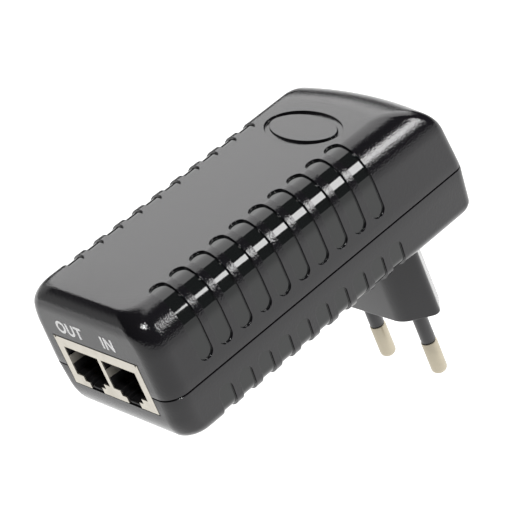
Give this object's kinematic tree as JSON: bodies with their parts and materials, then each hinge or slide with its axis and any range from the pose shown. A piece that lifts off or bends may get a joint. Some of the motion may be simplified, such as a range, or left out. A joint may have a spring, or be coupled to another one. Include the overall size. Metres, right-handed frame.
{
  "type": "wall-plug power-over-ethernet injector",
  "caption": "Black wall-plug network power injector: two-shell ribbed case, shielded dual modular jack at the front, and a mains plug boss with two round sleeved pins underneath.",
  "frame": {"origin": "centre of the plug boss pin face, midway between the two pins", "axes": "+X across the case, +Y from the jack face to the rear, +Z from the plug up through the top cover"},
  "size_m": [0.0466, 0.0952, 0.0716],
  "materials": {
    "shell": "moulded black plastic, fine spark texture, polished recesses",
    "label": "blank silver-grey film label",
    "nickel": "nickel-plated brass, satin",
    "sleeve": "moulded black sleeve",
    "nylon": "natural nylon",
    "lead_brown": "brown insulated lead",
    "lead_blue": "blue insulated lead",
    "board": "green solder mask on glass-epoxy board",
    "shield": "tin-plated steel sheet",
    "jack_plastic": "black glass-filled plastic",
    "contact": "gold-plated bronze wire",
    "ferrite": "sintered ferrite",
    "copper": "enamelled copper wire",
    "tape": "yellow polyester tape",
    "capacitor_sleeve": "shrink-sleeved aluminium can",
    "x_box": "yellow film capacitor box",
    "disc_blue": "epoxy-dipped disc",
    "disc_green": "epoxy-dipped disc",
    "chip": "moulded epoxy package",
    "opto": "white moulded package",
    "heatsink": "plain extruded",
    "screw": "zinc-plated",
    "resistor": "lacquered body"
  },
  "bodies": {
    "case": {"top_cover": "shell", "bottom_cover": "shell", "rating_label": "label", "left_plug_pin": "nickel", "right_plug_pin": "nickel", "left_pin_sleeve": "sleeve", "right_pin_sleeve": "sleeve", "pin_retainer": "nylon", "live_lead": "lead_brown", "neutral_lead": "lead_blue", "circuit_board": "board", "jack_shield": "shield", "jack_housing": "jack_plastic", "jack_terminals": "contact", "transformer_lower_core": "ferrite", "transformer_upper_core": "ferrite", "transformer_bobbin": "jack_plastic", "primary_winding": "copper", "secondary_winding": "copper", "transformer_tape": "tape", "bulk_capacitor": "capacitor_sleeve", "output_capacitors": "capacitor_sleeve", "x_capacitor": "x_box", "y_capacitor": "disc_blue", "mains_fuse": "jack_plastic", "surge_thermistor": "disc_green", "choke_core": "ferrite", "choke_windings": "copper", "bridge_rectifier": "chip", "power_switch_chip": "chip", "optocoupler": "opto", "output_diode": "chip", "diode_heatsink": "heatsink", "heatsink_screw": "screw", "output_inductor": "ferrite", "voltage_reference": "chip", "resistors": "resistor"},
    "poe_spring_set": {"poe_contacts": "contact"},
    "lan_spring_set": {"lan_contacts": "contact"}
  },
  "joints": [
    {"name": "poe_contact_flex", "type": "hinge", "parent": "case", "child": "poe_spring_set", "pos_m": [-0.007, -0.0722, 0.0384], "axis": [1, 0, 0], "range_deg": [0, 9], "stiffness_Nm_per_rad": 0.02},
    {"name": "lan_contact_flex", "type": "hinge", "parent": "case", "child": "lan_spring_set", "pos_m": [0.007, -0.0722, 0.0384], "axis": [1, 0, 0], "range_deg": [0, 9], "stiffness_Nm_per_rad": 0.02}
  ]
}
